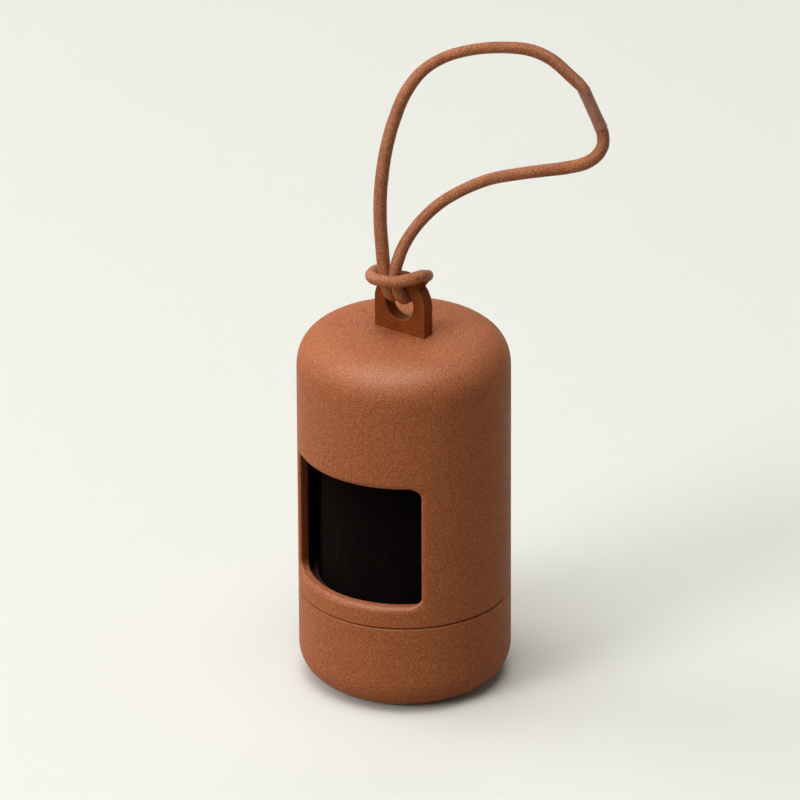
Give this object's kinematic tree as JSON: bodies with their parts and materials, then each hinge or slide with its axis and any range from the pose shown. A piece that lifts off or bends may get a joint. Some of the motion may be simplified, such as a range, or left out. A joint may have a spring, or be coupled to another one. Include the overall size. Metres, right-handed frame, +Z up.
{
  "type": "dog waste bag dispenser",
  "caption": "Screw-capped capsule with a side window that holds and pays out a roll of waste bags, with a lug on its dome and a hitched elastic cord loop.",
  "frame": {"origin": "centre of the base", "axes": "+Z up along the capsule, -Y out of the bag window, +X to the right of someone who looks into the window"},
  "size_m": [0.0549, 0.0433, 0.1359],
  "materials": {
    "shell": "matte soft-touch moulding in warm terracotta brown with a fine even grain",
    "lug": "satin moulding in a darker orange-brown",
    "cardboard": "plain grey-brown wound cardboard",
    "bag_film": "thin black film, wound flat, with a soft sheen",
    "cord": "braided elastic cord in light terracotta brown",
    "sleeve": "smooth shrunk tube in mauve-brown with a soft gloss"
  },
  "bodies": {
    "housing": {"body_shell": "shell", "hanger_lug": "lug", "cord": "cord", "cord_sleeve": "sleeve"},
    "core": {"roll_core": "cardboard"},
    "cap": {"base_cap": "shell"},
    "film": {"bag_roll": "bag_film"}
  },
  "joints": [
    {"name": "cap_drop", "type": "slide", "parent": "housing", "child": "core", "axis": [0, 0, -1], "range_m": [0, 0.00375]},
    {"name": "cap_turn", "type": "hinge", "parent": "core", "child": "cap", "pos_m": [0, 0, 0], "axis": [0, 0, -1], "range_deg": [0, 450]},
    {"name": "roll_spin", "type": "hinge", "parent": "core", "child": "film", "pos_m": [0, 0, 0], "axis": [0, 0, 1], "continuous": true}
  ],
  "couplings": [
    {"joint": "cap_turn", "follows": "cap_drop", "rad_per_m": 2094.4}
  ]
}
